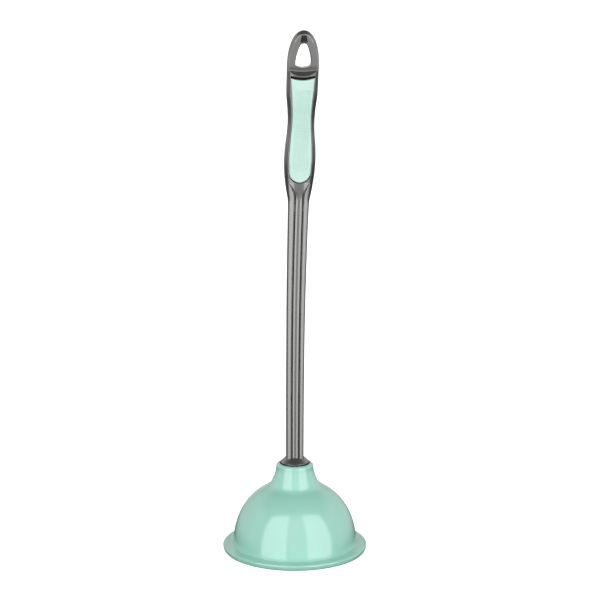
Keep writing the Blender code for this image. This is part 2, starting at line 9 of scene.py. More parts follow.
import bmesh
import bpy
import numpy as np
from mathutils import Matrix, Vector


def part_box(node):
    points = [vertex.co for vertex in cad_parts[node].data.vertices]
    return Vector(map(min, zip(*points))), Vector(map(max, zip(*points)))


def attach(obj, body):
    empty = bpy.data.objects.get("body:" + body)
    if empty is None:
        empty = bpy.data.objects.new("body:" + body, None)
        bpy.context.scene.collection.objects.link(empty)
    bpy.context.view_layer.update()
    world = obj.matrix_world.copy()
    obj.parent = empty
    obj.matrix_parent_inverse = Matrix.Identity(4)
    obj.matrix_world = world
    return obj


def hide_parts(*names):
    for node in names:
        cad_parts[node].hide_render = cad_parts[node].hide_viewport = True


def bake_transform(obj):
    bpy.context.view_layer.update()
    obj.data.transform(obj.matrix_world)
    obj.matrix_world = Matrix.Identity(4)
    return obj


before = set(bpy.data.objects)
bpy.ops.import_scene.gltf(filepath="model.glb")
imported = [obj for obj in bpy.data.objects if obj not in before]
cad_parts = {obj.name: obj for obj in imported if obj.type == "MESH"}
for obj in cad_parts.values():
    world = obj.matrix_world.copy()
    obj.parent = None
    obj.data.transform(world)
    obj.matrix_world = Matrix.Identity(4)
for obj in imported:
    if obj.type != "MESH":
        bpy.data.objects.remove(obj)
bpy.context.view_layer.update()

MM = 0.001
handle_lo, handle_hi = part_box("handle")

# ---------------------------------------------------------------- dimensions of the handle
# Stations are (height, value). The bow is how far the handle's middle stands towards +X, and a blur
# is the length over which a curve through stations is rounded.
TIP_Z = handle_hi.z
PLUG_FOOT_Z = handle_lo.z
HALF_WIDTHS = [
    (0.0900, 0.0082), (0.1500, 0.0083), (0.2200, 0.00855), (0.2700, 0.0089), (0.3310, 0.00945),
    (0.3460, 0.0098), (0.3540, 0.01145), (0.3620, 0.0129), (0.3730, 0.01435), (0.3850, 0.01495),
    (0.4000, 0.0144), (0.4120, 0.01315), (0.4230, 0.0127), (0.4350, 0.01335), (0.4500, 0.01485),
    (0.4620, 0.0150), (0.4765, 0.0151),
]
HALF_DEPTHS = [
    (0.0900, 0.0080), (0.2200, 0.0084), (0.3460, 0.0093), (0.3700, 0.0101), (0.3870, 0.0107),
    (0.4230, 0.0097), (0.4500, 0.0105), (0.4780, 0.0107),
]
SQUARENESS = [(0.4660, 2.4), (0.4760, 2.6)]
SHAFT_CROWN = 0.28
SHAFT_CORNER = 30.0
SHAFT_END_Z = 0.3400
GRIP_START_Z = 0.3720
BOW = [
    (0.0900, 0.0), (0.1500, 0.00018), (0.2310, 0.00085), (0.2640, 0.00140), (0.3090, 0.00245),
    (0.3310, 0.00310), (0.3560, 0.00390), (0.3900, 0.00500), (0.4300, 0.00630), (0.4550, 0.00710),
    (0.4780, 0.00790), (0.5087, 0.00880),
]
BOW_BLUR = 0.0100
WIDTH_BLUR = 0.0022
DEPTH_BLUR = 0.0040
SQUARENESS_BLUR = 0.0030

# The eye has a chamfer round its outline. Its face dips to a bridge below the hole, and from there the
# shoulder slopes out to the grip. The smile is the upward curve of an edge towards both sides.
EYE_WIDEST_Z = 0.4765
EYE_TIP_SQUARENESS = 2.16
EYE_HALF_DEPTH = 0.0060
EYE_SIDE_CHAMFER = 0.0008
EYE_TIP_CHAMFER = 0.0030
EYE_CHAMFER_GROWTH = 0.0170
EYE_RIM_SHARE = 0.38
EYE_CHAMFER_BLEND = 0.08
EYE_OUTLINE_FOOT_Z = 0.4700
EYE_OUTLINE_RISE = 0.0090
BRIDGE_DIP = 0.00050
BRIDGE_Z = 0.4690
BRIDGE_RISE = 0.0080
SHOULDER_TOP_Z = 0.4707
SHOULDER_SLOPE = 1.30
SHOULDER_TOP_SMILE = 0.0008
SHOULDER_FILLET = 0.0003
SHOULDER_CREST = 0.0005
SMILE_HALF_WIDTH = 0.0100

# The hole's half-widths go by the share of its height, and its flare is (depth, outward offset). The
# scoop is a wedge over the hole on each face.
HOLE_BOTTOM_Z = 0.4738
HOLE_TOP_Z = 0.4968
HOLE_HALF_WIDTHS = [
    (0.00, 0.0000), (0.015, 0.0030), (0.04, 0.0050), (0.07, 0.0064), (0.10, 0.0071),
    (0.14, 0.0073), (0.25, 0.0074), (0.41, 0.0070), (0.72, 0.0052), (0.92, 0.0033),
    (0.98, 0.0019), (1.00, 0.0004),
]
HOLE_STEPS = 49
HOLE_FLARE = [
    (0.0, 0.0), (0.0050, 0.0), (0.0055, 0.00015), (0.0059, 0.00045), (0.0120, 0.00045),
]
SCOOP_TOP_Z = 0.5047
SCOOP_FOOT_Z = 0.4978
SCOOP_TOP_HALF_WIDTH = 0.0022
SCOOP_FOOT_HALF_WIDTH = 0.0037
SCOOP_TOP_DEPTH = 0.0006
SCOOP_FOOT_DEPTH = 0.0046
SCOOP_CLEARANCE = 0.0040
SCOOP_BEVEL = 0.0004

# Two grooves run up each face of the shaft and bend outwards at the grip. The reed is the rib between
# them, lower towards each groove.
GROOVE_WIDTH = 0.0018
GROOVE_DEPTH = 0.0011
GROOVE_LIP = 1.25
GROOVE_WALL = 1.15
GROOVE_FADE = 0.0060
REED_DROP = 0.0012
REED_FADE_Z = 0.3470
REED_FADE = 0.0120
GROOVE_CENTRE_LOW = 0.0036
GROOVE_CENTRE_HIGH = 0.0040
GROOVE_BEND_Z = 0.3490
GROOVE_BEND_RADIUS = 0.0210
GROOVE_END_Z = 0.3640
GROOVE_OVERRUN = 0.0030

# The conical collar ends in an overhanging rim. The plug below it sits in the cup's neck.
COLLAR_TOP_Z = 0.0936
COLLAR_TOP_RADIUS = 0.0084
COLLAR_SLOPE_END = (0.0127, 0.0896)
COLLAR_EDGE = (0.0139, 0.0884)
COLLAR_RIM_FOOT_Z = 0.0880
COLLAR_UNDERCUT_RADIUS = 0.0130
COLLAR_UNDERCUT_DROP = 0.0002
COLLAR_FOOT_Z = 0.0833
COLLAR_ROUNDING = 0.0003
CORNER_SHARE = 0.45
NEARLY_STRAIGHT = 3.0
PLUG_RADIUS = 0.0104
BARB_RADIUS = 0.0114
BARB_COUNT = 3
BARB_PITCH = 0.0045
BARB_TOP_DROP = 0.0015
BARB_STEP = 0.0006
BARB_TAPER = 0.0036
PLUG_CHAMFER = 0.0010
PILOT_RADIUS = 0.0025
PILOT_TOP_Z = 0.0865

# ---------------------------------------------------------------- dimensions of the inlays
PAD_HALF_WIDTHS = [
    (0.3760, 0.01010), (0.3880, 0.01065), (0.4040, 0.00990), (0.4270, 0.00860),
    (0.4460, 0.00965), (0.4627, 0.01130),
]
PAD_WIDTH_BLUR = 0.0025
PAD_BOTTOM_Z = 0.3657
PAD_ROUND_Z = 0.3760
PAD_TOP_Z = 0.4627
PAD_TOP_SAG = 0.0019
PAD_TOP_HALF_WIDTH = 0.0113
PAD_CROWN = 0.0004
PAD_FILLET = 0.0007
PAD_FILLET_SHARE = 0.9
PAD_LIFT_START_Z = 0.4540
PAD_TOP_ROUND = 0.0010
PAD_BACK_GAP = 0.0003
PAD_FOOT_TURNS = (radians(5), radians(88))
PAD_FOOT_ROWS, PAD_TOP_ROWS = 46, 7
PAD_BORDER_COLUMNS, PAD_FILLET_COLUMNS = 7, 6
PAD_FILLET_LIMIT = 0.2
PAD_SHARP_ANGLE = radians(50)

# The recess goes down to a web between the front and the back. Over the inlay's top edge it is deeper
# and has a sloping roof, so that a dark gap shows. The last two limit the slopes of outlines.
RECESS_HALF_WEB = 0.0060
RECESS_SIDE_GAP = 0.0004
RECESS_FOOT_GAP = 0.0004
RECESS_FOOT_RISE = 0.0060
RECESS_FOOT_BAND = 0.0005
RECESS_END_GAP = 0.0029
RECESS_TOP_SAG = 0.0013
RECESS_LIP = 0.00035
RECESS_LIP_SHARE = 0.9
RECESS_WALL = 0.00015
GAP_EXTRA_DEPTH = 0.0030
GAP_RAMP = 0.0006
GAP_ROOF = 0.0064
STEEPEST = 40.0
SMALLEST_SLOPE = 1e-6

# The panel is the textured part of the inlay's face, covered with small square pips.
PANEL_HALF_WIDTH = 0.0075
PANEL_BOTTOM_Z = 0.3763
PANEL_TOP_Z = 0.4537
PANEL_SINK = 0.00035
PANEL_COLUMNS = 30
PANEL_SHARE = 0.72
PANEL_BORDER = 0.0003
PIP_PITCH = 0.0015
PIP_SHARPNESS = 1.4
PIP_SHARE = 0.30
PIP_RISE = 0.00050
PIP_STEP = 0.00025

# ---------------------------------------------------------------- layout of the handle's mesh
# A row of points is lifted towards its sides, so that it follows the curved edges near its height.
# Stretches of rows are (start, end, step).
HANDLE_FOOT_Z = 0.0905
TIP_START_Z = 0.5000
LIFT_HEIGHTS = (0.4540, 0.4627, 0.4657, 0.4668, 0.4707, 0.4800)
LIFT_AMOUNTS = (0.0, 0.0019, 0.0032, 0.0032, 0.0010, 0.0)
LIFT_REACH = 0.0121
ROW_STRETCHES = [
    (HANDLE_FOOT_Z, 0.3440, 0.0028), (0.3440, 0.3640, 0.0005), (0.3640, 0.3680, 0.00012),
    (0.3680, 0.3770, 0.00035), (0.3770, 0.4530, 0.0011), (0.4530, 0.4640, 0.0006),
    (0.4640, 0.4680, 0.00013), (0.4680, 0.4780, 0.00030), (0.4780, TIP_START_Z, 0.0005),
]
TIP_ROWS = 30

# Within a row, points are close together at the groove and at the recess's lip. The limits and the
# clearance are in parts of the row's half-width, the share is of what is left beside the groove, and
# the reach is in parts of the groove's half-width.
ROW_GROOVE_LIMIT = 0.86
ROW_GROOVE_SHARE = 0.25
ROW_GROOVE_REACH = 1.45
ROW_CLEARANCE = 0.05
ROW_EDGE_LIMIT = 0.80
ROW_NARROWEST_EDGE = 0.0010
LIP_FULL_EDGE = 0.0012
LIP_FULL_WIDTH = 0.0090
SIDE_POINTS, GROOVE_POINTS, BETWEEN_POINTS, FLOOR_POINTS = 14, 15, 6, 10
HANDLE_SHARP_ANGLE = radians(38)
COLLAR_STEPS = 120
LIP_OFFSETS = MM * np.array([0.34, 0.24, 0.15, 0.07, 0.0, -0.05, -0.10, -0.15])

# ---------------------------------------------------------------- dimensions of the cup
# Pairs are (radius, height). The dome is a superellipse about a centre a little above the floor.
FLANGE_RADIUS = 0.0700
FLANGE_INNER_RADIUS = 0.0565
FLANGE_ROOT_Z = 0.0058
FLANGE_FILLET = 0.0006
FLANGE_EDGE = (0.0674, 0.0059)
FLANGE_LIP_Z = 0.0042
FLANGE_ROLL_RADIUS = 0.0697
FLANGE_UNDERCUT_Z = 0.0012
FLANGE_REST_RADIUS = 0.0684
DOME_RADIUS = 0.0599
DOME_HEIGHT = 0.0645
DOME_CENTRE_Z = 0.0042
DOME_SQUARENESS = 2.16
DOME_WALL = 0.0045
DOME_TOP_RADIUS = 0.0282
NECK_RADIUS = 0.0180
NECK_FLARE_TOP_Z = 0.0832
NECK_FLARE_BEND_Z = 0.0782
NECK_FLARE_FOOT = (0.0225, 0.0683)
NECK_FLARE_CORNER = (0.0242, 0.0645)
NECK_SHOULDER_Z = 0.0840
NECK_RIM_Z = 0.0871
NECK_MOUTH_RADIUS = 0.0145
NECK_MOUTH_ROUND = 0.0006
NECK_MOUTH_DROP = 0.0010
MOUTH_FLOOR_Z = 0.0830
SOCKET_RADIUS = 0.0118
WEB_TOP_Z = 0.0660
WEB_BOTTOM_Z = 0.0610
WEB_BOSS_RADIUS = 0.0135
WEB_BOSS_FOOT_RADIUS = 0.0155
WEB_HOLE_RADIUS = 0.0030
MOUTH_CHAMFER = 0.0010
INNER_DOME_FOOT_Z = 0.0100
FLANGE_FILLET_DROP = 0.2

# Numbers of points along each part of the profile, and round the cup.
FLARE_STEPS, SHOULDER_STEPS, DOME_STEPS, INNER_DOME_STEPS = 18, 16, 60, 48
MOUTH_POINTS, RIM_POINTS = 7, 13
FILLET_STEPS, ROLL_STEPS, UNDERCUT_STEPS = 6, 12, 10
CUP_STEPS = 256
CUP_SHARP_ANGLE = radians(40)

# ---------------------------------------------------------------- camera and light
CAMERA_DISTANCE = 2.5
CAMERA_HEIGHT = 0.86725
CAMERA_PITCH = 0.242285
CAMERA_LENS = 161.56
CAMERA_AZIMUTH = radians(-4.0)
CAMERA_SHIFT = 0.0051
SENSOR_WIDTH = 36.0
CLIP_RANGE = (0.05, 60.0)

# Azimuths are from the front, heights are parts of a unit direction, and steepness is the height over
# the distance towards a softbox. A pair fades from start to end; a band is (start, end, soft edge).
SOFTBOX_TURN = radians(18.0)
LEAST_TOWARD = 0.02
SOFTBOX_AZIMUTHS = (radians(20), radians(68.4), radians(2.5))
SOFTBOX_STEEPNESS = (-0.42, 1.55, 0.10)
SOFTBOX_LIGHT = 1.55
FRONT_AZIMUTHS = (radians(60), radians(85))
FRONT_HEIGHTS = (-0.42, -0.25)
FRONT_STEEPNESS = (1.0, 2.4)
FRONT_LIGHT = 0.95
SIDE_AZIMUTHS = (radians(80), radians(160), radians(12))
SIDE_HEIGHTS = (-0.15, 0.65, 0.15)
SIDE_LIGHT = 0.70
REAR_AZIMUTHS = (radians(155), radians(175))
REAR_HEIGHTS = (-0.20, 0.72, 0.12)
REAR_LIGHT = 0.75
CEILING_HEIGHTS = (-0.35, 0.10)
CEILING_LIGHT = 0.19
OVERHEAD_HEIGHTS = (0.80, 0.95)
OVERHEAD_LIGHT = 0.02
BELOW_HEIGHTS = (-0.35, -0.60)
BELOW_LIGHT = 0.10
FLOOR_GLOW = 0.75
FLOOR_HALF_SIZE = 30.0
FLOOR_DROP = 0.0002
FLOOR_COLOUR = (0.80, 0.80, 0.80, 1.0)
FLOOR_ROUGHNESS = 0.9
WHITE = (1.0, 1.0, 1.0, 1.0)

# ---------------------------------------------------------------- noise in the materials
BROAD_NOISE_SCALE = 60.0
BROAD_NOISE_DETAIL = 4.0
NOISE_RANGE = (0.30, 0.70)
GRAIN_DETAIL = 3.0
GRAIN_DISTANCE = 0.0001


# ---------------------------------------------------------------- curves and meshes
def curve_through(stations):
    """A smooth function through (place, value) stations, which doesn't overshoot between them."""
    places = np.array([station[0] for station in stations])
    values = np.array([station[1] for station in stations])
    rises = np.diff(values) / np.diff(places)
    same_way = rises[:-1] * rises[1:] > 0.0
    total = np.where(same_way, rises[:-1] + rises[1:], 1.0)
    inner = np.where(same_way, 2.0 * rises[:-1] * rises[1:] / total, 0.0)
    slopes = np.concatenate(([rises[0]], inner, [rises[-1]]))

    def value_at(place):
        held = np.clip(place, places[0], places[-1])
        i = np.clip(np.searchsorted(places, held, side="right") - 1, 0, len(rises) - 1)
        span = places[i + 1] - places[i]
        t = (held - places[i]) / span
        start = values[i] * (1.0 + 2.0 * t) * (1.0 - t) ** 2 + slopes[i] * span * t * (1.0 - t) ** 2
        end = values[i + 1] * t * t * (3.0 - 2.0 * t) + slopes[i + 1] * span * t * t * (t - 1.0)
        return start + end

    return value_at


def smooth_curve(stations, blur):
    """A curve through stations, rounded further over a length on each side."""
    value_at = curve_through(stations)
    step, span = 0.0002, 3.0 * blur
    grid = np.arange(stations[0][0] - span, stations[-1][0] + span + step, step)
    reach = step * np.arange(-ceil(span / step), ceil(span / step) + 1)
    weights = np.exp(-0.5 * (reach / blur) ** 2)
    padded = np.pad(value_at(grid), len(reach) // 2, mode="edge")
    rounded_values = np.convolve(padded, weights / weights.sum(), mode="valid")
    return lambda place: np.interp(place, grid, rounded_values)


def soft_min(a, b, radius):
    """The smaller of two surfaces, rounded where they meet."""
    nearness = np.clip(0.5 + 0.5 * (b - a) / radius, 0.0, 1.0)
    return b + (a - b) * nearness - radius * nearness * (1.0 - nearness)


def soft_max(a, b, radius):
    """The larger of two surfaces, rounded where they meet."""
    return -soft_min(-a, -b, radius)


def smooth_step(value):
    """Rise smoothly from 0 to 1 as the value goes from 0 to 1."""
    t = np.clip(value, 0.0, 1.0)
    return t * t * (3.0 - 2.0 * t)


def quarter_round(fraction, squareness):
    """Height of a superellipse of unit size at a fraction of its half-width."""
    inside = np.maximum(0.0, 1.0 - np.abs(fraction) ** squareness)
    return inside ** (1.0 / squareness)


def mesh_from(name, points, faces, material):
    """Make a smooth-shaded mesh object from points and faces, with its faces turned outward."""
    mesh = bpy.data.meshes.new(name)
    mesh.from_pydata([tuple(point) for point in points], [], faces)
    mesh.validate()
    thing = bpy.data.objects.new(name, mesh)
    bpy.context.scene.collection.objects.link(thing)
    if material:
        mesh.materials.append(material)
    face_outward(mesh)
    mesh.shade_smooth()
    return thing


def face_outward(mesh):
    """Turn every face of a closed mesh outward."""
    bm = bmesh.new()
    bm.from_mesh(mesh)
    bmesh.ops.recalc_face_normals(bm, faces=bm.faces)
    bm.to_mesh(mesh)
    bm.free()


def skin(rows, columns):
    """Faces over a grid of points whose rows are closed rings."""
    faces = []
    for row in range(rows - 1):
        for column in range(columns):
            following = (column + 1) % columns
            low, high = row * columns, (row + 1) * columns
            faces.append((low + column, low + following, high + following, high + column))
    return faces


def apply_modifiers(thing):
    """Replace an object's mesh with the result of its modifiers."""
    bpy.context.view_layer.update()
    graph = bpy.context.evaluated_depsgraph_get()
    result = bpy.data.meshes.new_from_object(thing.evaluated_get(graph))
    thing.modifiers.clear()
    thing.data = result


def boolean(target, other, operation):
    """Cut the other object from the target, or join it on, and remove the other object."""
    modifier = target.modifiers.new(other.name, "BOOLEAN")
    modifier.object = other
    modifier.operation = operation
    modifier.solver = "EXACT"
    apply_modifiers(target)
    bpy.data.objects.remove(other, do_unlink=True)


# ---------------------------------------------------------------- handle form
bow = smooth_curve(BOW, BOW_BLUR)
width_curve = smooth_curve(HALF_WIDTHS, WIDTH_BLUR)
depth_curve = smooth_curve(HALF_DEPTHS, DEPTH_BLUR)
squareness_curve = smooth_curve(SQUARENESS, SQUARENESS_BLUR)
pad_width_curve = smooth_curve(PAD_HALF_WIDTHS, PAD_WIDTH_BLUR)
hole_width_curve = curve_through(HOLE_HALF_WIDTHS)


def half_width(z):
    """Half the handle's width, closing in a pointed oval above the eye's widest place."""
    rise = np.clip((z - EYE_WIDEST_Z) / (TIP_Z - EYE_WIDEST_Z), 0.0, 1.0)
    return width_curve(z) * quarter_round(rise, EYE_TIP_SQUARENESS)


def eye_edge_distance(x, z):
    """Distance from a point of the eye to the eye's outline."""
    wide = width_curve(z)
    tall = TIP_Z - EYE_WIDEST_Z
    power = EYE_TIP_SQUARENESS
    across = np.abs(x) / wide
    up = np.maximum(0.0, z - EYE_WIDEST_Z) / tall
    level = 1.0 - across ** power - up ** power
    slope_x = power * across ** (power - 1.0) / wide
    slope_z = power * up ** (power - 1.0) / tall
    return np.maximum(0.0, level) / np.maximum(np.hypot(slope_x, slope_z), SMALLEST_SLOPE)


def eye_face(z):
    """Half-depth of the eye's flat faces, which lean in below the hanging hole."""
    return EYE_HALF_DEPTH - BRIDGE_DIP * (1.0 - smooth_step((z - BRIDGE_Z) / BRIDGE_RISE))


def eye_outline(x, z):
    """Share of the eye's depth that is left near its outline, where a chamfer runs round it."""
    to_tip = smooth_step((z - EYE_WIDEST_Z) / EYE_CHAMFER_GROWTH)
    chamfer = EYE_SIDE_CHAMFER + (EYE_TIP_CHAMFER - EYE_SIDE_CHAMFER) * to_tip
    share = EYE_RIM_SHARE + (1.0 - EYE_RIM_SHARE) * eye_edge_distance(x, z) / chamfer
    return soft_min(share, 1.0, EYE_CHAMFER_BLEND)


def grip_depth(x, z):
    """Half-depth of the crowned grip and shaft."""
    fraction = np.abs(x) / half_width(z)
    shaft = (1.0 - SHAFT_CROWN * fraction ** 3) * quarter_round(fraction, SHAFT_CORNER)
    grip = quarter_round(fraction, squareness_curve(z))
    in_grip = smooth_step((z - SHAFT_END_Z) / (GRIP_START_Z - SHAFT_END_Z))
    return depth_curve(z) * (shaft + (grip - shaft) * in_grip)


def shoulder_cut(x, z):
    """Half-depth of the sloping shoulder, which rises from the eye's face towards the grip."""
    top = SHOULDER_TOP_Z + SHOULDER_TOP_SMILE * (x / SMILE_HALF_WIDTH) ** 2
    drop = SHOULDER_SLOPE * (top - z)
    return eye_face(z) + soft_max(drop, 0.0, 2.0 * SHOULDER_FILLET)


def surface_depth(x, z):
    """Half-depth of the handle's surface, without grooves or recess."""
    cut = soft_min(grip_depth(x, z), shoulder_cut(x, z), SHOULDER_CREST)
    in_eye = smooth_step((z - EYE_OUTLINE_FOOT_Z) / EYE_OUTLINE_RISE)
    return cut * (1.0 - in_eye * (1.0 - eye_outline(x, z)))


def groove_centre(z):
    """Distance of each groove from the middle: straight on the shaft, then bending outwards."""
    rise = np.clip((z - COLLAR_TOP_Z) / (GROOVE_BEND_Z - COLLAR_TOP_Z), 0.0, 1.0)
    straight = GROOVE_CENTRE_LOW + (GROOVE_CENTRE_HIGH - GROOVE_CENTRE_LOW) * rise
    past = np.clip(z - GROOVE_BEND_Z, 0.0, GROOVE_END_Z + GROOVE_OVERRUN - GROOVE_BEND_Z)
    return straight + GROOVE_BEND_RADIUS - np.sqrt(GROOVE_BEND_RADIUS ** 2 - past ** 2)


def groove_cut(x, z):
    """Depth of the groove at a point, with rounded lips and a rounded floor."""
    offset = np.abs(np.abs(x) - groove_centre(z)) / (0.5 * GROOVE_WIDTH)
    fade = np.clip((GROOVE_END_Z - z) / GROOVE_FADE, 0.0, 1.0)
    return GROOVE_DEPTH * fade * smooth_step((GROOVE_LIP - offset) / GROOVE_WALL)


def reed_crown(x, z):
    """Rounding of the middle rib between the grooves, lower towards each groove."""
    fraction = np.abs(x) / groove_centre(z)
    fade = 1.0 - smooth_step((z - REED_FADE_Z) / REED_FADE)
    return REED_DROP * fade * fraction ** 2 * (fraction < 1.0)


def pad_half_width(z, margin=0.0):
    """Half the inlay's width, with an elliptical lower end."""
    drop = np.clip((PAD_ROUND_Z - z) / (PAD_ROUND_Z - PAD_BOTTOM_Z + margin), 0.0, 1.0)
    return (pad_width_curve(np.maximum(z, PAD_ROUND_Z)) + margin) * np.sqrt(1.0 - drop * drop)


def pad_top(x):
    """Height of the inlay's top edge, which curves up towards both corners."""
    return PAD_TOP_Z + PAD_TOP_SAG * (x / PAD_TOP_HALF_WIDTH) ** 2


def recess_inside(x, z):
    """Distance from a point to the recess's outline, positive inside the recess."""
    margin = RECESS_SIDE_GAP + RECESS_FOOT_GAP * smooth_step((PAD_ROUND_Z - z) / RECESS_FOOT_RISE)
    half, step = pad_half_width(z, margin), 0.0002
    lean = (half - pad_half_width(z - step, margin)) / step
    side = (half - np.abs(x)) / np.sqrt(1.0 + np.minimum(lean, STEEPEST) ** 2)
    below = z - (PAD_BOTTOM_Z - margin)
    above = pad_top(x) + RECESS_END_GAP + RECESS_TOP_SAG * (x / PAD_TOP_HALF_WIDTH) ** 2 - z
    return np.minimum(np.minimum(side, above), np.where(below < RECESS_FOOT_BAND, below, 1.0))


def handle_depth(x, z):
    """Half-depth of the finished handle: surface, grooves, rounded rib and recess."""
    outer = surface_depth(x, z)
    open_surface = outer - groove_cut(x, z) - reed_crown(x, z)
    inside = recess_inside(x, z)
    closeness = np.clip(1.0 + inside / RECESS_LIP, 0.0, 1.0)
    lipped = open_surface - RECESS_LIP * (1.0 - np.sqrt(1.0 - closeness ** 2 * RECESS_LIP_SHARE))
    wall = smooth_step(inside / RECESS_WALL)
    over_pad = z - pad_top(x)
    web = RECESS_HALF_WEB - GAP_EXTRA_DEPTH * smooth_step((over_pad + GAP_RAMP) / GAP_RAMP)
    web = web + GAP_ROOF * np.clip(over_pad / RECESS_END_GAP, 0.0, 1.0)
    return np.maximum(lipped + (np.minimum(web, lipped) - lipped) * wall, 0.0)


# ---------------------------------------------------------------- handle mesh
def row_lift(x, u):
    """Lift of a mesh row at a distance from the middle, so that rows follow the curved top edges."""
    amount = np.interp(u, LIFT_HEIGHTS, LIFT_AMOUNTS)
    return amount * (np.minimum(np.abs(x), LIFT_REACH) / PAD_TOP_HALF_WIDTH) ** 2


def handle_heights():
    """Heights of the handle's mesh rows, close together where its form changes quickly."""
    heights = []
    for start, end, step in ROW_STRETCHES:
        heights.extend(np.linspace(start, end, ceil((end - start) / step), endpoint=False))
    turns = np.linspace(0.0, 0.5 * pi, TIP_ROWS)[:-1]
    heights.extend(TIP_START_Z + (TIP_Z - TIP_START_Z) * np.sin(turns))
    return np.array(heights)


def handle_row(u):
    """Distances from the middle, from the side to the centre, at which a row has its points."""
    width = float(half_width(u))
    groove = min(float(groove_centre(u)), ROW_GROOVE_LIMIT * width)
    reach = ROW_GROOVE_REACH * min(0.5 * GROOVE_WIDTH, ROW_GROOVE_SHARE * (width - groove))
    edge = float(pad_half_width(u, RECESS_SIDE_GAP))
    edge = float(pad_half_width(u + row_lift(edge, u), RECESS_SIDE_GAP))
    edge = max(edge, ROW_NARROWEST_EDGE)
    edge = min(edge, groove - reach - ROW_CLEARANCE * width, ROW_EDGE_LIMIT * width)
    turn = np.arccos(min(1.0, (groove + reach) / width))
    side = width * np.cos(np.linspace(0.0, turn, SIDE_POINTS))
    cut = groove + reach * np.linspace(1.0, -1.0, GROOVE_POINTS)[1:]
    lip = edge + LIP_OFFSETS * min(1.0, edge / LIP_FULL_EDGE, width / LIP_FULL_WIDTH)
    between = np.linspace(cut[-1], lip[0], BETWEEN_POINTS)[1:-1]
    floor = np.linspace(lip[-1], 0.0, FLOOR_POINTS)[1:]
    return np.concatenate((side, cut, between, lip, floor))


def ring_round(corner, left, back):
    """A whole ring of values from a quarter of it, with the signs of its left and back halves.

    The quarter runs from the side to the middle. The ring starts at the left and crosses the front.
    """
    front = np.concatenate((left * corner, corner[-2::-1]))
    rear = np.concatenate((corner[1:], left * corner[-2:0:-1]))
    return np.concatenate((front, back * rear))


def handle_blank(material):
    """The handle's outside as one closed mesh, without its hole, scoops and collar."""
    points = []
    heights = handle_heights()
    for u in heights:
        x = handle_row(u)
        z = u + row_lift(x, u)
        x = x * half_width(z) / half_width(u)
        y = handle_depth(x, z)
        y[0] = 0.0
        ring_x, ring_y, ring_z = ring_round(x, -1, 1), -ring_round(y, 1, -1), ring_round(z, 1, 1)
        points.extend(np.column_stack((ring_x + bow(ring_z), ring_y, ring_z)))
    columns = len(points) // len(heights)
    faces = skin(len(heights), columns)
    foot, tip = len(points), len(points) + 1
    points.append((bow(heights[0]), 0.0, heights[0]))
    points.append((bow(TIP_Z), 0.0, TIP_Z))
    last = (len(heights) - 1) * columns
    for column in range(columns):
        following = (column + 1) % columns
        faces.append((following, column, foot))
        faces.append((last + column, last + following, tip))
    return mesh_from("handle_moulding", points, faces, material)


def hole_outline(offset):
    """Outline of the hanging hole in the XZ plane, moved outwards by an offset."""
    height = HOLE_TOP_Z - HOLE_BOTTOM_Z
    steps = 0.5 - 0.5 * np.cos(np.linspace(0.0, pi, HOLE_STEPS))
    x, z = hole_width_curve(steps), HOLE_BOTTOM_Z + height * steps
    x = np.concatenate((x, -x[::-1]))
    z = np.concatenate((z, z[::-1]))
    along_x, along_z = np.roll(x, -1) - np.roll(x, 1), np.roll(z, -1) - np.roll(z, 1)
    length = np.hypot(along_x, along_z)
    x, z = x + offset * along_z / length, z - offset * along_x / length
    return x + bow(z), z


def hole_cutter():
    """The hanging hole as a cutter that widens at both faces, so that its edges come out rounded."""
    points = []
    stations = [(-y, offset) for y, offset in HOLE_FLARE[:0:-1]] + HOLE_FLARE
    for y, offset in stations:
        x, z = hole_outline(offset)
        points.extend(np.column_stack((x, np.full(len(x), y), z)))
    columns = len(points) // len(stations)
    faces = skin(len(stations), columns)
    faces.append(tuple(range(columns)))
    faces.append(tuple(range(len(points) - columns, len(points))))
    return mesh_from("hanging_hole", points, faces, None)


def scoop_cutter(side):
    """A wedge over the hanging hole, deepest at the hole, with softened corners."""
    bm = bmesh.new()
    bmesh.ops.create_cube(bm, size=2.0)
    for vert in bm.verts:
        at_top = vert.co.z > 0.0
        z = SCOOP_TOP_Z if at_top else SCOOP_FOOT_Z
        half = SCOOP_TOP_HALF_WIDTH if at_top else SCOOP_FOOT_HALF_WIDTH
        inner = EYE_HALF_DEPTH - (SCOOP_TOP_DEPTH if at_top else SCOOP_FOOT_DEPTH)
        depth = inner if vert.co.y < 0.0 else EYE_HALF_DEPTH + SCOOP_CLEARANCE
        vert.co = Vector((vert.co.x * half + float(bow(z)), side * depth, z))
    bm.normal_update()
    bmesh.ops.bevel(bm, geom=list(bm.edges), offset=SCOOP_BEVEL, segments=3, affect="EDGES")
    bmesh.ops.recalc_face_normals(bm, faces=bm.faces)
    mesh = bpy.data.meshes.new("scoop")
    bm.to_mesh(mesh)
    bm.free()
    cutter = bpy.data.objects.new("scoop", mesh)
    bpy.context.scene.collection.objects.link(cutter)
    return cutter


def turned(name, profile, material, steps, closed=False):
    """Turn a profile of (radius, height) points about the Z axis; a closed profile joins its ends."""
    turns = np.linspace(0.0, 2.0 * pi, steps, endpoint=False)
    points, rings = [], []
    for radius, height in profile:
        if radius == 0.0:
            rings.append([len(points)] * steps)
            points.append((0.0, 0.0, height))
        else:
            rings.append(list(range(len(points), len(points) + steps)))
            points.extend((radius * cos(t), radius * sin(t), height) for t in turns)
    pairs = list(zip(rings, rings[1:]))
    if closed:
        pairs.append((rings[-1], rings[0]))
    faces = []
    for upper, lower in pairs:
        for i in range(steps):
            j = (i + 1) % steps
            corners = dict.fromkeys((upper[i], upper[j], lower[j], lower[i]))
            if len(corners) > 2:
                faces.append(tuple(corners))
    return mesh_from(name, points, faces, material)


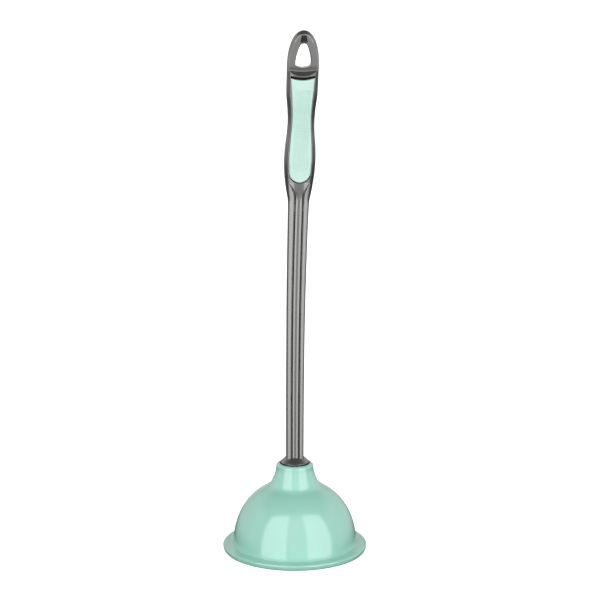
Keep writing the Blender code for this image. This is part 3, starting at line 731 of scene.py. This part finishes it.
def rounded(profile, radius, steps):
    """Round the corners of a profile between its ends with curves of up to a given radius."""
    smooth = [profile[0]]
    for number in range(1, len(profile) - 1):
        before, corner, after = (np.array(profile[number + k]) for k in (-1, 0, 1))
        to_before, to_after = before - corner, after - corner
        reach = CORNER_SHARE * min(np.linalg.norm(to_before), np.linalg.norm(to_after))
        to_before, to_after = (v / np.linalg.norm(v) for v in (to_before, to_after))
        angle = np.arccos(np.clip(np.dot(to_before, to_after), -1.0, 1.0))
        if angle > NEARLY_STRAIGHT:
            smooth.append(tuple(corner))
            continue
        trim = min(reach, radius / np.tan(0.5 * angle))
        start, end = corner + trim * to_before, corner + trim * to_after
        for i in range(steps + 1):
            t = i / steps
            smooth.append(tuple(start * (1 - t) ** 2 + corner * 2 * t * (1 - t) + end * t * t))
    smooth.append(profile[-1])
    return smooth


def collar_profile():
    """The conical collar with its overhanging rim, and the barbed plug below it."""
    profile = [(0.0, COLLAR_TOP_Z), (COLLAR_TOP_RADIUS, COLLAR_TOP_Z), COLLAR_SLOPE_END]
    profile += [COLLAR_EDGE, (COLLAR_EDGE[0], COLLAR_RIM_FOOT_Z)]
    profile += [(COLLAR_UNDERCUT_RADIUS, COLLAR_RIM_FOOT_Z - COLLAR_UNDERCUT_DROP)]
    profile += [(COLLAR_UNDERCUT_RADIUS, COLLAR_FOOT_Z), (PLUG_RADIUS, COLLAR_FOOT_Z)]
    for number in range(BARB_COUNT):
        top = COLLAR_FOOT_Z - BARB_TOP_DROP - number * BARB_PITCH
        profile += [(PLUG_RADIUS, top), (BARB_RADIUS, top - BARB_STEP), (PLUG_RADIUS, top - BARB_TAPER)]
    profile += [(PLUG_RADIUS, PLUG_FOOT_Z + PLUG_CHAMFER), (PLUG_RADIUS - PLUG_CHAMFER, PLUG_FOOT_Z)]
    profile += [(PILOT_RADIUS, PLUG_FOOT_Z), (PILOT_RADIUS, PILOT_TOP_Z), (0.0, PILOT_TOP_Z)]
    return rounded(profile, COLLAR_ROUNDING, steps=3)


def handle_moulding(material):
    """The one-piece moulding: plug, collar, fluted shaft, grip frame and hanging eye."""
    body = handle_blank(material)
    boolean(body, turned("collar_and_plug", collar_profile(), material, COLLAR_STEPS), "UNION")
    boolean(body, hole_cutter(), "DIFFERENCE")
    for side in (-1, 1):
        boolean(body, scoop_cutter(side), "DIFFERENCE")
    body.data.shade_smooth()
    body.data.set_sharp_from_angle(angle=HANDLE_SHARP_ANGLE)
    return body


# ---------------------------------------------------------------- inlays
def pad_columns(z):
    """Places of an inlay's columns from its middle to its edge: even over the pips, then a border."""
    edge = float(pad_half_width(z))
    panel = min(PANEL_HALF_WIDTH, PANEL_SHARE * edge)
    inner = np.linspace(0.0, panel, PANEL_COLUMNS + 1)
    border_end = edge - min(PAD_FILLET, PAD_FILLET_LIMIT * edge)
    border = np.linspace(panel, border_end, PAD_BORDER_COLUMNS)[1:]
    turns = np.linspace(0.0, 0.5 * pi, PAD_FILLET_COLUMNS)[1:]
    fillet = border[-1] + (edge - border[-1]) * np.sin(turns)
    return np.concatenate((inner, border, fillet))


def pad_rows():
    """Heights of an inlay's rows, from its rounded foot to its hollowed top edge."""
    foot = PAD_ROUND_Z - PAD_BOTTOM_Z
    top = PAD_TOP_Z - PAD_TOP_ROUND
    lower = PAD_ROUND_Z - foot * np.cos(np.linspace(*PAD_FOOT_TURNS, PAD_FOOT_ROWS))
    middle = np.linspace(PAD_ROUND_Z, top, ceil((top - PAD_ROUND_Z) / PIP_STEP))
    upper = top + PAD_TOP_ROUND * np.sin(np.linspace(0.0, 0.5 * pi, PAD_TOP_ROWS))[1:]
    return np.concatenate((lower, middle, upper))


def pip_height(x, z):
    """Height of the small square pips above the inlay's face, with the panel between them sunk."""
    centre_z = 0.5 * (PANEL_BOTTOM_Z + PANEL_TOP_Z)
    from_edge = np.minimum(PANEL_HALF_WIDTH - np.abs(x),
                           0.5 * (PANEL_TOP_Z - PANEL_BOTTOM_Z) - np.abs(z - centre_z))
    inside = smooth_step(from_edge / PANEL_BORDER)
    wave_x = np.cos(2.0 * pi * (x / PIP_PITCH - 0.5))
    wave_z = np.cos(2.0 * pi * ((z - centre_z) / PIP_PITCH - 0.5))
    bump = smooth_step(0.5 + PIP_SHARPNESS * (np.minimum(wave_x, wave_z) + PIP_SHARE))
    return inside * (PIP_RISE * bump - PANEL_SINK)


def pad_depth(x, z, edge_distance):
    """Half-depth of the inlay's outer face, crowned, with a rounded edge and its pips."""
    crowned = grip_depth(x, z) + PAD_CROWN
    fall = np.clip(1.0 - edge_distance / PAD_FILLET, 0.0, 1.0)
    drop = PAD_FILLET_SHARE * PAD_FILLET * (1.0 - np.sqrt(1.0 - fall * fall))
    return crowned - drop + pip_height(x, z)


def inlay(name, side, material):
    """One soft inlay. Side is -1 for the front and 1 for the back."""
    inner, step = RECESS_HALF_WEB + PAD_BACK_GAP, 0.0001
    points, rows = [], pad_rows()
    for z in rows:
        half = pad_columns(z)
        x = np.concatenate((-half[::-1], half[1:]))
        edge = float(pad_half_width(z))
        slope = (edge - float(pad_half_width(z - step))) / step
        from_side = (edge - np.abs(x)) / sqrt(1.0 + min(slope, STEEPEST) ** 2)
        from_top = PAD_TOP_Z - z
        lift = PAD_TOP_SAG * (x / PAD_TOP_HALF_WIDTH) ** 2
        lift = lift * np.clip((z - PAD_LIFT_START_Z) / (PAD_TOP_Z - PAD_LIFT_START_Z), 0.0, 1.0)
        depth = pad_depth(x, z + lift, np.minimum(from_side, from_top))
        outer = np.column_stack((x + bow(z), side * depth, z + lift))
        back = outer[::-1].copy()
        back[:, 1] = side * inner
        points.extend(outer)
        points.extend(back)
    columns = len(points) // len(rows)
    faces = skin(len(rows), columns)
    for start in (0, len(points) - columns):
        ring = range(start, start + columns)
        for i in range(columns // 2 - 1):
            faces.append((ring[i], ring[i + 1], ring[columns - 2 - i], ring[columns - 1 - i]))
    pad = mesh_from(name, points, faces, material)
    pad.data.set_sharp_from_angle(angle=PAD_SHARP_ANGLE)
    return pad


# ---------------------------------------------------------------- cup
def dome_height(radius, inset=0.0):
    """Height of the dome's surface at a radius, moved inwards by the wall for its inner face."""
    fraction = radius / (DOME_RADIUS - inset)
    return float(DOME_CENTRE_Z + (DOME_HEIGHT - inset) * quarter_round(fraction, DOME_SQUARENESS))


def dome_radius(height, inset=0.0):
    """Radius of the dome's surface at a height, on its inner face if an inset is given."""
    fraction = (height - DOME_CENTRE_Z) / (DOME_HEIGHT - inset)
    return float((DOME_RADIUS - inset) * quarter_round(fraction, DOME_SQUARENESS))


def dome_points(first_radius, foot_height, inset, steps):
    """Points down the dome, evenly turned from a radius near its crown to a height near its foot."""
    start = first_radius / (DOME_RADIUS - inset)
    end = dome_radius(foot_height, inset) / (DOME_RADIUS - inset)
    power = DOME_SQUARENESS / 2.0
    turns = np.linspace(np.arcsin(start ** power), np.arcsin(end ** power), steps)
    radii = (DOME_RADIUS - inset) * np.sin(turns) ** (1.0 / power)
    return [(float(radius), dome_height(radius, inset)) for radius in radii]


def bend(start, corner, end, steps):
    """Points on a curve from start to end that leaves and arrives in the corner's directions."""
    start, corner, end = (np.array(point) for point in (start, corner, end))
    shares = [(i + 1) / steps for i in range(steps)]
    return [tuple(start * (1 - t) ** 2 + corner * 2 * t * (1 - t) + end * t * t) for t in shares]


def cup_outside():
    """Outer half of the cup's profile, from the neck's mouth down to the flange's underside."""
    rim = NECK_RIM_Z - NECK_SHOULDER_Z
    profile = [(NECK_MOUTH_RADIUS, NECK_RIM_Z - NECK_MOUTH_DROP)]
    for turn in np.radians(np.linspace(180.0, 90.0, MOUTH_POINTS)):
        profile.append((NECK_MOUTH_RADIUS + NECK_MOUTH_ROUND * (1.0 + cos(turn)),
                        NECK_RIM_Z - NECK_MOUTH_ROUND * (1.0 - sin(turn))))
    for turn in np.radians(np.linspace(90.0, 0.0, RIM_POINTS)):
        profile.append((NECK_RADIUS - rim + rim * cos(turn), NECK_SHOULDER_Z + rim * sin(turn)))
    flare_top = (NECK_RADIUS, NECK_FLARE_TOP_Z)
    dome_top = (DOME_TOP_RADIUS, dome_height(DOME_TOP_RADIUS))
    profile.append(flare_top)
    profile += bend(flare_top, (NECK_RADIUS, NECK_FLARE_BEND_Z), NECK_FLARE_FOOT, FLARE_STEPS)
    profile += bend(NECK_FLARE_FOOT, NECK_FLARE_CORNER, dome_top, SHOULDER_STEPS)
    profile += dome_points(DOME_TOP_RADIUS, FLANGE_ROOT_Z + FLANGE_FILLET, 0.0, DOME_STEPS)[1:]
    foot = profile[-1][0]
    root_end = (foot + FLANGE_FILLET, FLANGE_ROOT_Z - FLANGE_FILLET_DROP * FLANGE_FILLET)
    profile += bend(profile[-1], (foot, FLANGE_ROOT_Z), root_end, FILLET_STEPS)
    profile.append(FLANGE_EDGE)
    lip, rest = (FLANGE_RADIUS, FLANGE_LIP_Z), (FLANGE_REST_RADIUS, 0.0)
    profile += bend(FLANGE_EDGE, (FLANGE_ROLL_RADIUS, FLANGE_EDGE[1]), lip, ROLL_STEPS)
    return profile + bend(lip, (FLANGE_ROLL_RADIUS, FLANGE_UNDERCUT_Z), rest, UNDERCUT_STEPS)


def cup_inside():
    """Inner half of the cup's profile, from the flange's underside up to the neck's mouth."""
    profile = [(FLANGE_INNER_RADIUS, 0.0), (FLANGE_INNER_RADIUS - MOUTH_CHAMFER, MOUTH_CHAMFER)]
    dome = dome_points(WEB_BOSS_FOOT_RADIUS, INNER_DOME_FOOT_Z, DOME_WALL, INNER_DOME_STEPS)
    profile += reversed(dome)
    profile += [(WEB_BOSS_RADIUS, WEB_BOTTOM_Z), (WEB_HOLE_RADIUS, WEB_BOTTOM_Z)]
    profile += [(WEB_HOLE_RADIUS, WEB_TOP_Z), (SOCKET_RADIUS, WEB_TOP_Z)]
    return profile + [(SOCKET_RADIUS, MOUTH_FLOOR_Z), (NECK_MOUTH_RADIUS, MOUTH_FLOOR_Z)]


def cup_skin(material):
    """The rubber cup as one fine turned mesh."""
    cup = turned("cup_skin", cup_outside() + cup_inside(), material, CUP_STEPS, closed=True)
    cup.data.set_sharp_from_angle(angle=CUP_SHARP_ANGLE)
    return cup


# ---------------------------------------------------------------- materials
def procedural(name, colour, roughness, metallic=0.0, noise_scale=900.0, bump=0.05,
               colour_swing=0.04, roughness_swing=0.05, **extras):
    """A Principled material whose colour, roughness and fine bump vary with procedural noise."""
    material = bpy.data.materials.new(name)
    material.use_nodes = True
    nodes, links = material.node_tree.nodes, material.node_tree.links
    shader = nodes["Principled BSDF"]
    shader.inputs["Metallic"].default_value = metallic
    for socket, value in extras.items():
        shader.inputs[socket.replace("_", " ")].default_value = value
    place = nodes.new("ShaderNodeTexCoord")
    broad = nodes.new("ShaderNodeTexNoise")
    broad.inputs["Scale"].default_value = BROAD_NOISE_SCALE
    broad.inputs["Detail"].default_value = BROAD_NOISE_DETAIL
    links.new(place.outputs["Object"], broad.inputs["Vector"])
    tint = nodes.new("ShaderNodeValToRGB")
    factors = (1.0 - colour_swing, 1.0 + colour_swing)
    for element, position, factor in zip(tint.color_ramp.elements, NOISE_RANGE, factors):
        element.position = position
        element.color = (*(channel * factor for channel in colour), 1.0)
    links.new(broad.outputs["Fac"], tint.inputs["Fac"])
    links.new(tint.outputs["Color"], shader.inputs["Base Color"])
    sheen = nodes.new("ShaderNodeMapRange")
    sheen.inputs["From Min"].default_value = NOISE_RANGE[0]
    sheen.inputs["From Max"].default_value = NOISE_RANGE[1]
    sheen.inputs["To Min"].default_value = roughness - roughness_swing
    sheen.inputs["To Max"].default_value = roughness + roughness_swing
    links.new(broad.outputs["Fac"], sheen.inputs["Value"])
    links.new(sheen.outputs["Result"], shader.inputs["Roughness"])
    grain = nodes.new("ShaderNodeTexNoise")
    grain.inputs["Scale"].default_value = noise_scale
    grain.inputs["Detail"].default_value = GRAIN_DETAIL
    links.new(place.outputs["Object"], grain.inputs["Vector"])
    relief = nodes.new("ShaderNodeBump")
    relief.inputs["Strength"].default_value = bump
    relief.inputs["Distance"].default_value = GRAIN_DISTANCE
    links.new(grain.outputs["Fac"], relief.inputs["Height"])
    links.new(relief.outputs["Normal"], shader.inputs["Normal"])
    return material


# ---------------------------------------------------------------- studio
def studio_world():
    """Soft light by direction: two tall softboxes in front, dimmer light all round, a dark top."""
    world = bpy.data.worlds.new("studio")
    bpy.context.scene.world = world
    world.use_nodes = True
    nodes, links = world.node_tree.nodes, world.node_tree.links
    background = nodes["Background"]

    def math(operation, *values):
        node = nodes.new("ShaderNodeMath")
        node.operation = operation
        for socket, value in zip(node.inputs, values):
            if isinstance(value, (int, float)):
                socket.default_value = value
            else:
                links.new(value, socket)
        return node.outputs[0]

    def fade(value, start, end):
        node = nodes.new("ShaderNodeMapRange")
        node.interpolation_type = "SMOOTHSTEP"
        node.inputs["From Min"].default_value = start
        node.inputs["From Max"].default_value = end
        links.new(value, node.inputs["Value"])
        return node.outputs["Result"]

    place = nodes.new("ShaderNodeTexCoord")
    parts = nodes.new("ShaderNodeSeparateXYZ")
    links.new(place.outputs["Generated"], parts.inputs["Vector"])
    x, y, z = (parts.outputs[axis] for axis in "XYZ")
    azimuth = math("ARCTAN2", x, math("MULTIPLY", y, -1.0))
    off_front = math("ABSOLUTE", azimuth)

    def band(value, start, end, edge):
        rise = fade(value, start - edge, start + edge)
        fall = math("SUBTRACT", 1.0, fade(value, end - edge, end + edge))
        return math("MULTIPLY", rise, fall)

    outward = math("MULTIPLY", math("ABSOLUTE", x), sin(SOFTBOX_TURN))
    toward = math("ADD", math("MULTIPLY", y, -cos(SOFTBOX_TURN)), outward)
    steepness = math("DIVIDE", z, math("MAXIMUM", toward, LEAST_TOWARD))
    boxes = math("MULTIPLY", band(off_front, *SOFTBOX_AZIMUTHS), band(steepness, *SOFTBOX_STEEPNESS))
    front = math("SUBTRACT", 1.0, fade(off_front, *FRONT_AZIMUTHS))
    front = math("MULTIPLY", front, fade(z, *FRONT_HEIGHTS))
    front = math("MULTIPLY", front, math("SUBTRACT", 1.0, fade(steepness, *FRONT_STEEPNESS)))
    sides = math("MULTIPLY", band(off_front, *SIDE_AZIMUTHS), band(z, *SIDE_HEIGHTS))
    rear = math("MULTIPLY", fade(off_front, *REAR_AZIMUTHS), band(z, *REAR_HEIGHTS))
    level = math("MULTIPLY", boxes, SOFTBOX_LIGHT)
    for part, light in (
        (rear, REAR_LIGHT), (front, FRONT_LIGHT), (sides, SIDE_LIGHT),
        (fade(z, *CEILING_HEIGHTS), CEILING_LIGHT), (fade(z, *BELOW_HEIGHTS), BELOW_LIGHT),
        (fade(z, *OVERHEAD_HEIGHTS), OVERHEAD_LIGHT - CEILING_LIGHT),
    ):
        level = math("ADD", level, math("MULTIPLY", part, light))
    links.new(level, background.inputs["Strength"])
    background.inputs["Color"].default_value = WHITE


def studio_floor():
    """A very large pale floor that glows, so that it comes out white up to the horizon."""
    bm = bmesh.new()
    bmesh.ops.create_grid(bm, x_segments=1, y_segments=1, size=FLOOR_HALF_SIZE)
    mesh = bpy.data.meshes.new("floor")
    bm.to_mesh(mesh)
    bm.free()
    floor = bpy.data.objects.new("floor", mesh)
    bpy.context.scene.collection.objects.link(floor)
    floor.location.z = -FLOOR_DROP
    material = bpy.data.materials.new("floor")
    material.use_nodes = True
    nodes, links = material.node_tree.nodes, material.node_tree.links
    shader = nodes["Principled BSDF"]
    shader.inputs["Base Color"].default_value = FLOOR_COLOUR
    shader.inputs["Roughness"].default_value = FLOOR_ROUGHNESS
    shader.inputs["Specular IOR Level"].default_value = 0.0
    shader.inputs["Emission Color"].default_value = WHITE
    shader.inputs["Emission Strength"].default_value = FLOOR_GLOW
    mesh.materials.append(material)
    floor.visible_glossy = False
    floor.visible_diffuse = False


def studio_camera():
    """Camera at the plunger's front, slightly above it and turned a little towards -X."""
    camera_data = bpy.data.cameras.new("camera")
    camera = bpy.data.objects.new("camera", camera_data)
    bpy.context.scene.collection.objects.link(camera)
    camera_data.lens = CAMERA_LENS
    camera_data.sensor_width = SENSOR_WIDTH
    camera_data.clip_start, camera_data.clip_end = CLIP_RANGE
    turn = CAMERA_AZIMUTH
    right = Vector((cos(turn), sin(turn), 0.0))
    back = Vector((sin(turn), -cos(turn), 0.0))
    camera.location = CAMERA_DISTANCE * back + CAMERA_SHIFT * right + Vector((0, 0, CAMERA_HEIGHT))
    camera.rotation_mode = "XYZ"
    camera.rotation_euler = (0.5 * pi - CAMERA_PITCH, 0.0, turn)
    bpy.context.scene.camera = camera


# ---------------------------------------------------------------- scene
bpy.context.scene.view_settings.view_transform = "Standard"
bpy.context.scene.view_settings.look = "None"

grey = procedural("grey_moulding", (0.215, 0.215, 0.211), 0.19, metallic=0.80, noise_scale=1400.0,
                  bump=0.0, colour_swing=0.01, roughness_swing=0.01)
mint = procedural("mint_cup_rubber", (0.275, 0.550, 0.458), 0.09, noise_scale=500.0, bump=0.0,
                  colour_swing=0.006, roughness_swing=0.01, Specular_IOR_Level=0.90)
pale = procedural("pale_inlay_rubber", (0.495, 0.685, 0.622), 0.45, noise_scale=1200.0, bump=0.05,
                  colour_swing=0.010)
steel = procedural("zinc_steel", (0.600, 0.600, 0.580), 0.30, metallic=1.0, noise_scale=900.0,
                   bump=0.06)

moulding = handle_moulding(grey)
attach(moulding, "handle")
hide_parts("handle")
for name, side in (("front_inlay", -1), ("back_inlay", 1)):
    pad = inlay(name, side, pale)
    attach(pad, "handle")
    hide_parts({-1: "grip_pad_front", 1: "grip_pad_back"}[side])
cup = cup_skin(mint)
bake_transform(cup)
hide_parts("rubber_cup")
for node in ("retaining_washer", "retaining_screw"):
    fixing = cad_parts[node]
    fixing.data.materials.clear()
    fixing.data.materials.append(steel)

studio_world()
studio_floor()
studio_camera()
